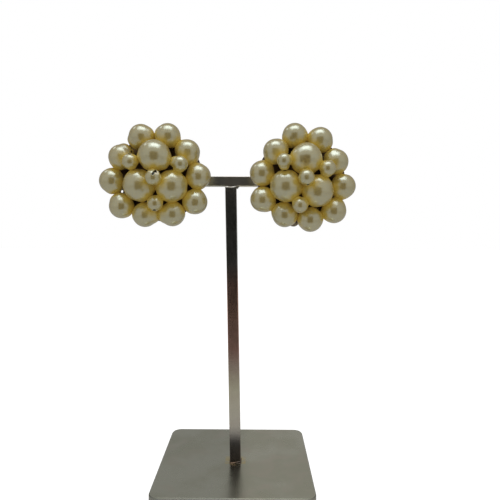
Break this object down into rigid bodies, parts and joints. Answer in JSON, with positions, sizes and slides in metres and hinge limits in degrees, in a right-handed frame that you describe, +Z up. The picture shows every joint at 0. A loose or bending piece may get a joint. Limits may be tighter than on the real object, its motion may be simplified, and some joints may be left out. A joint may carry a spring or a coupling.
{
  "type": "pair of pearl cluster clip earrings on a t-bar display stand",
  "caption": "Round domed clusters of faux pearls on clip backs, displayed as a pair on a small metal T-bar stand with a square base.",
  "frame": {"origin": "middle of the underside of the stand's base", "axes": "+Z up along the post, +X along the crossbar to the viewer's right, -Y towards the front of the earrings"},
  "size_m": [0.083, 0.0514, 0.1179],
  "materials": {
    "pearl": "pearlescent coat, cream with yellowed edges",
    "plate_metal": "yellowed and tarnished, dark in the recesses",
    "clip_metal": "worn plating",
    "wire_metal": "tarnished",
    "stand_metal": "satin grey with heat tint at the solder joints"
  },
  "bodies": {
    "root": {"display_stand": "stand_metal", "left_back_plate": "plate_metal", "left_clip": "clip_metal", "left_ring_wire": "wire_metal", "left_inner_wire": "wire_metal", "left_ring_pearl_1": "pearl", "left_ring_pearl_2": "pearl", "left_ring_pearl_3": "pearl", "left_ring_pearl_4": "pearl", "left_ring_pearl_5": "pearl", "left_ring_pearl_6": "pearl", "left_ring_pearl_7": "pearl", "left_ring_pearl_8": "pearl", "left_ring_pearl_9": "pearl", "left_ring_pearl_10": "pearl", "left_large_pearl_1": "pearl", "left_large_pearl_2": "pearl", "left_large_pearl_3": "pearl", "left_small_pearl_1": "pearl", "left_small_pearl_2": "pearl", "left_small_pearl_3": "pearl", "left_small_pearl_4": "pearl", "right_back_plate": "plate_metal", "right_clip": "clip_metal", "right_ring_wire": "wire_metal", "right_inner_wire": "wire_metal", "right_ring_pearl_1": "pearl", "right_ring_pearl_2": "pearl", "right_ring_pearl_3": "pearl", "right_ring_pearl_4": "pearl", "right_ring_pearl_5": "pearl", "right_ring_pearl_6": "pearl", "right_ring_pearl_7": "pearl", "right_ring_pearl_8": "pearl", "right_ring_pearl_9": "pearl", "right_ring_pearl_10": "pearl", "right_large_pearl_1": "pearl", "right_large_pearl_2": "pearl", "right_large_pearl_3": "pearl", "right_small_pearl_1": "pearl", "right_small_pearl_2": "pearl", "right_small_pearl_3": "pearl", "right_small_pearl_4": "pearl"}
  },
  "joints": []
}
